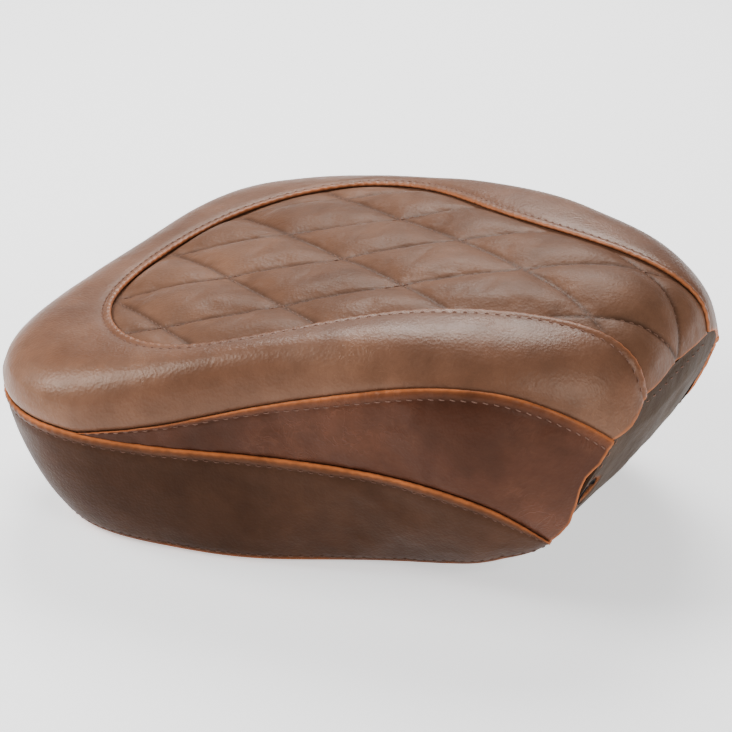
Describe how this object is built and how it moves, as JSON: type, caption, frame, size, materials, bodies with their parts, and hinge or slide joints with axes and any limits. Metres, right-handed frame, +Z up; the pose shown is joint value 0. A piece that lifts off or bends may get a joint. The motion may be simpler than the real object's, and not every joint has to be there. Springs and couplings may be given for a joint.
{
  "type": "motorcycle passenger seat pad",
  "caption": "Teardrop pillion seat pad: quilted leather insert, full bolster, side wedges and skirt over foam on an arched base pan with mounting plates.",
  "frame": {"origin": "centre of the overall box in plan, on the surface that the lowest hem stands on", "axes": "+X forwards to the face that meets the rider's seat, +Y to the left, +Z up"},
  "size_m": [0.3182, 0.2872, 0.1345],
  "materials": {
    "pan_plastic": "fine moulded texture",
    "foam": "moulded polyurethane foam",
    "padding": "soft scrim-backed foam sheet",
    "insert_leather": "waxed pull-up, diamond quilted",
    "bolster_leather": "waxed pull-up, fine grain",
    "wedge_leather": "waxed pull-up, creased",
    "skirt_leather": "waxed pull-up, fine grain",
    "front_leather": "smooth satin facing",
    "socket_plastic": "satin moulded",
    "zinc_steel": "zinc plated",
    "bumper_rubber": "matt moulded"
  },
  "bodies": {
    "root": {"base_pan": "pan_plastic", "foam_core": "foam", "quilt_padding": "padding", "cover_quilted_insert": "insert_leather", "cover_bolster": "bolster_leather", "cover_wedge_left": "wedge_leather", "cover_wedge_right": "wedge_leather", "cover_skirt": "skirt_leather", "cover_front_panel": "front_leather", "front_socket_left": "socket_plastic", "front_socket_right": "socket_plastic", "front_mount_plate": "zinc_steel", "front_weld_nut": "zinc_steel", "front_plate_bolt_left": "zinc_steel", "front_plate_bolt_right": "zinc_steel", "rear_mount_plate": "zinc_steel", "rear_weld_nut": "zinc_steel", "rear_plate_bolt_left": "zinc_steel", "rear_plate_bolt_right": "zinc_steel", "bumper_front_left": "bumper_rubber", "bumper_front_right": "bumper_rubber", "bumper_rear_left": "bumper_rubber", "bumper_rear_right": "bumper_rubber"}
  },
  "joints": []
}
